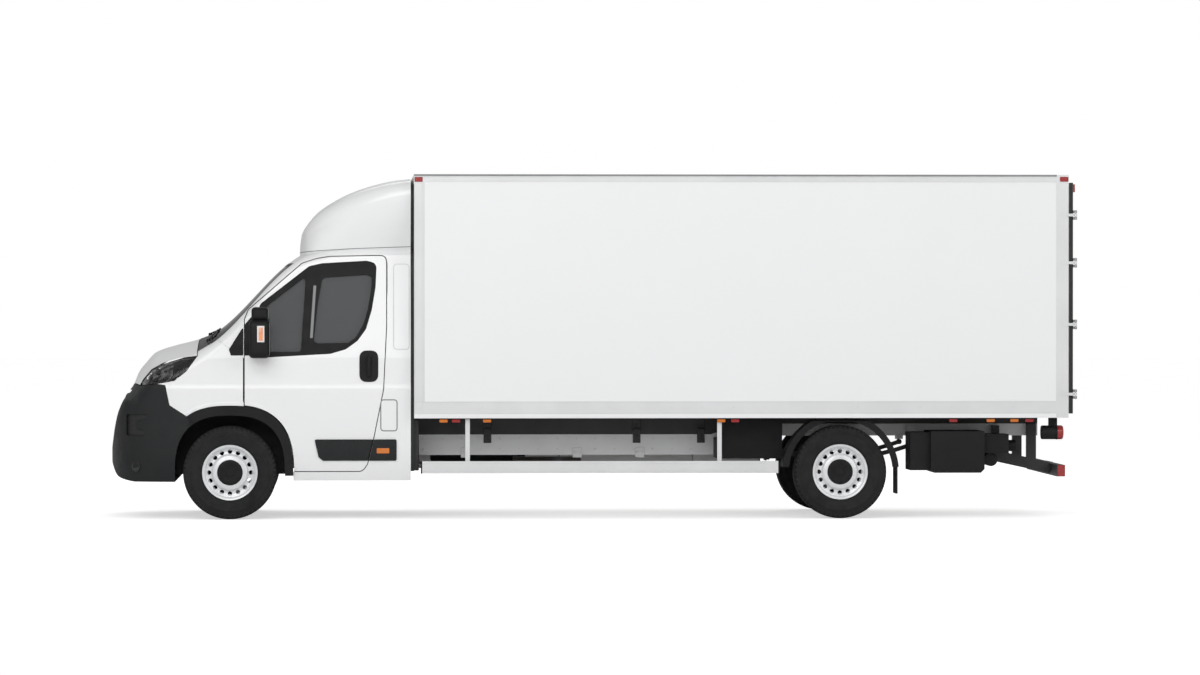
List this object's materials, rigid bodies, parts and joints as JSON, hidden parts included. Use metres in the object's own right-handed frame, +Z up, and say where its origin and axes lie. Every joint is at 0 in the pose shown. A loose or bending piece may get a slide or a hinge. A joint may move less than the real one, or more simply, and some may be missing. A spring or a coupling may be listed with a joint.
{
  "type": "box van",
  "caption": "Box van: light chassis cab with roof fairing, long plain box body, ladder frame and two rear doors.",
  "frame": {"origin": "ground level under the middle of the vehicle's overall box", "axes": "+X to the rear, +Y to the vehicle's right, +Z up"},
  "size_m": [7.758, 2.5, 2.76],
  "materials": {
    "white_paint": "gloss",
    "box_panel": "satin",
    "anodised": "satin",
    "black_plastic": "textured",
    "grey_plastic": "textured",
    "glass_dark": "tinted",
    "lamp_clear": "clear",
    "lamp_red": "gloss",
    "frame_grey": "satin",
    "frame_black": "satin",
    "cast": "rough",
    "steel": "satin",
    "rim_silver": "satin",
    "tyre_rubber": "matte",
    "seat_fabric": "woven",
    "floor_wood": "matte"
  },
  "bodies": {
    "chassis": {"chassis_frame": "frame_grey", "box_subframe": "frame_black", "box_bearers": "frame_black", "front_axle": "frame_black", "engine_block": "cast", "rear_axle": "frame_black", "leaf_springs": "frame_black", "fuel_tank": "black_plastic", "exhaust": "steel", "cab_floor": "frame_black", "cab_side_left": "white_paint", "cab_side_right": "white_paint", "cab_roof": "white_paint", "cab_back_panel": "white_paint", "front_fenders": "white_paint", "front_bumper": "grey_plastic", "headlights": "lamp_clear", "windscreen": "glass_dark", "roof_fairing": "white_paint", "wheel_arch_liners": "black_plastic", "dashboard": "black_plastic", "steering_wheel": "black_plastic", "driver_seat": "seat_fabric", "passenger_bench": "seat_fabric", "box_floor": "floor_wood", "box_front_wall": "box_panel", "box_side_left": "box_panel", "box_side_right": "box_panel", "box_roof": "box_panel", "box_profiles": "anodised", "box_rear_frame": "anodised", "side_guards": "anodised", "rear_mudguards": "black_plastic", "tool_box": "black_plastic", "underrun_bar": "frame_black", "tail_lamps": "lamp_red"},
    "hood": {"hood": "white_paint"},
    "cab_door_left": {"door_left": "white_paint", "door_glass_left": "glass_dark", "mirror_left": "black_plastic"},
    "box_door_left": {"rear_door_left": "box_panel"},
    "steering_left": {"knuckle_left": "cast"},
    "wheel_front_left": {"tyre_front_left": "tyre_rubber", "rim_front_left": "rim_silver"},
    "wheel_rear_left": {"tyre_rear_left": "tyre_rubber", "rim_rear_left": "rim_silver"},
    "cab_door_right": {"door_right": "white_paint", "door_glass_right": "glass_dark", "mirror_right": "black_plastic"},
    "box_door_right": {"rear_door_right": "box_panel"},
    "steering_right": {"knuckle_right": "cast"},
    "wheel_front_right": {"tyre_front_right": "tyre_rubber", "rim_front_right": "rim_silver"},
    "wheel_rear_right": {"tyre_rear_right": "tyre_rubber", "rim_rear_right": "rim_silver"}
  },
  "joints": [
    {"name": "hood_hinge", "type": "hinge", "parent": "chassis", "child": "hood", "pos_m": [-3.178, 0, 1.442], "axis": [0, 1, 0], "range_deg": [0, 55]},
    {"name": "cab_door_left_hinge", "type": "hinge", "parent": "chassis", "child": "cab_door_left", "pos_m": [-2.795, -1.024, 1], "axis": [0, 0, -1], "range_deg": [0, 70]},
    {"name": "box_door_left_hinge", "type": "hinge", "parent": "chassis", "child": "box_door_left", "pos_m": [3.866, -1.118, 1.72], "axis": [0, 0, -1], "range_deg": [0, 270]},
    {"name": "steer_left", "type": "hinge", "parent": "chassis", "child": "steering_left", "pos_m": [-2.914, -0.76, 0.375], "axis": [0, 0, 1], "range_deg": [-33, 33]},
    {"name": "wheel_front_left_spin", "type": "hinge", "parent": "steering_left", "child": "wheel_front_left", "pos_m": [-2.914, -0.905, 0.375], "axis": [0, 1, 0], "continuous": true},
    {"name": "wheel_rear_left_spin", "type": "hinge", "parent": "chassis", "child": "wheel_rear_left", "pos_m": [1.982, -0.905, 0.375], "axis": [0, 1, 0], "continuous": true},
    {"name": "cab_door_right_hinge", "type": "hinge", "parent": "chassis", "child": "cab_door_right", "pos_m": [-2.795, 1.024, 1], "axis": [0, 0, 1], "range_deg": [0, 70]},
    {"name": "box_door_right_hinge", "type": "hinge", "parent": "chassis", "child": "box_door_right", "pos_m": [3.866, 1.118, 1.72], "axis": [0, 0, 1], "range_deg": [0, 270]},
    {"name": "steer_right", "type": "hinge", "parent": "chassis", "child": "steering_right", "pos_m": [-2.914, 0.76, 0.375], "axis": [0, 0, 1], "range_deg": [-33, 33]},
    {"name": "wheel_front_right_spin", "type": "hinge", "parent": "steering_right", "child": "wheel_front_right", "pos_m": [-2.914, 0.905, 0.375], "axis": [0, 1, 0], "continuous": true},
    {"name": "wheel_rear_right_spin", "type": "hinge", "parent": "chassis", "child": "wheel_rear_right", "pos_m": [1.982, 0.905, 0.375], "axis": [0, 1, 0], "continuous": true}
  ],
  "couplings": [
    {"joint": "steer_right", "follows": "steer_left", "ratio": 1}
  ]
}
